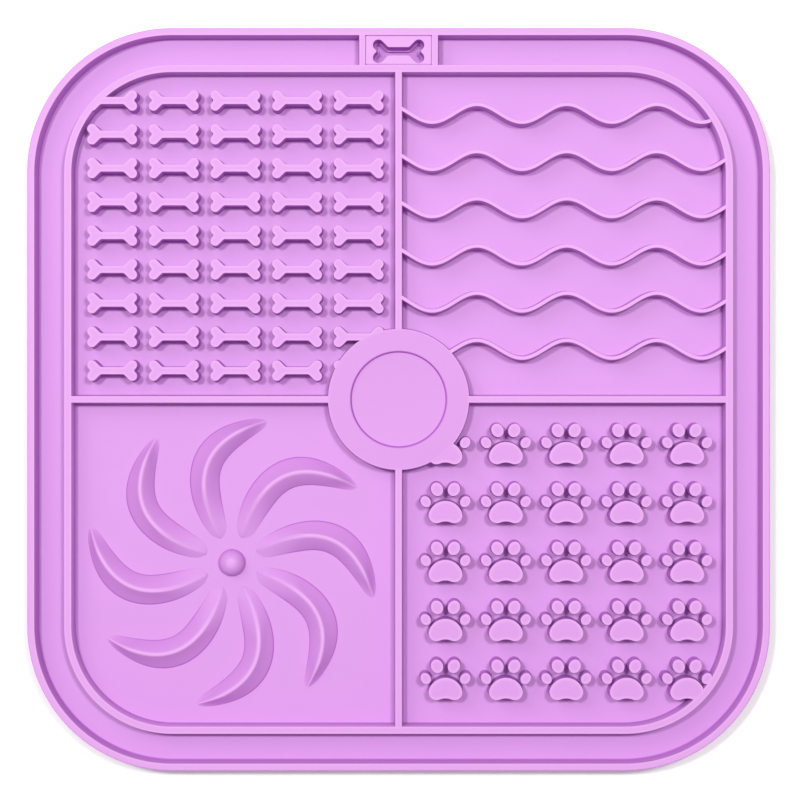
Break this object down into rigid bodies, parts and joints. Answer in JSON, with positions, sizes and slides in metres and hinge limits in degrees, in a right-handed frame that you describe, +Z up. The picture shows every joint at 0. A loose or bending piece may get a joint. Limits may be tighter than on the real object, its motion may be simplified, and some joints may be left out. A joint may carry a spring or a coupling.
{
  "type": "lick mat",
  "caption": "Square silicone lick mat for pets: rimmed food channel, textured cells with bones, waves, paws and a vortex, a centre disc and suction cups beneath.",
  "frame": {"origin": "under the middle of the mat, on the plane of the suction cups' lips that it rests on", "axes": "+Z up through the mat's face, +Y towards the side with the bone-shaped pocket, +X to the right with the pocket away from the viewer"},
  "size_m": [0.2, 0.2, 0.01],
  "materials": {
    "silicone": "satin"
  },
  "bodies": {
    "root": {"base_sheet": "silicone", "outer_rim": "silicone", "inner_wall": "silicone", "divider_north": "silicone", "divider_east": "silicone", "divider_south": "silicone", "divider_west": "silicone", "centre_disc": "silicone", "tab_block": "silicone", "tab_rib_left": "silicone", "tab_rib_right": "silicone", "bone_row_1": "silicone", "bone_row_2": "silicone", "bone_row_3": "silicone", "bone_row_4": "silicone", "bone_row_5": "silicone", "bone_row_6": "silicone", "bone_row_7": "silicone", "bone_row_8": "silicone", "bone_row_9": "silicone", "wave_rib_1": "silicone", "wave_rib_2": "silicone", "wave_rib_3": "silicone", "wave_rib_4": "silicone", "wave_rib_5": "silicone", "wave_rib_6": "silicone", "vortex_knob": "silicone", "vortex_vane_1": "silicone", "vortex_vane_2": "silicone", "vortex_vane_3": "silicone", "vortex_vane_4": "silicone", "vortex_vane_5": "silicone", "vortex_vane_6": "silicone", "vortex_vane_7": "silicone", "vortex_vane_8": "silicone", "paw_row_1": "silicone", "paw_row_2": "silicone", "paw_row_3": "silicone", "paw_row_4": "silicone", "paw_row_5": "silicone", "suction_cups_row_1": "silicone", "suction_cups_row_2": "silicone", "suction_cups_row_3": "silicone", "suction_cups_row_4": "silicone", "suction_cups_row_5": "silicone", "suction_cups_row_6": "silicone"}
  },
  "joints": []
}
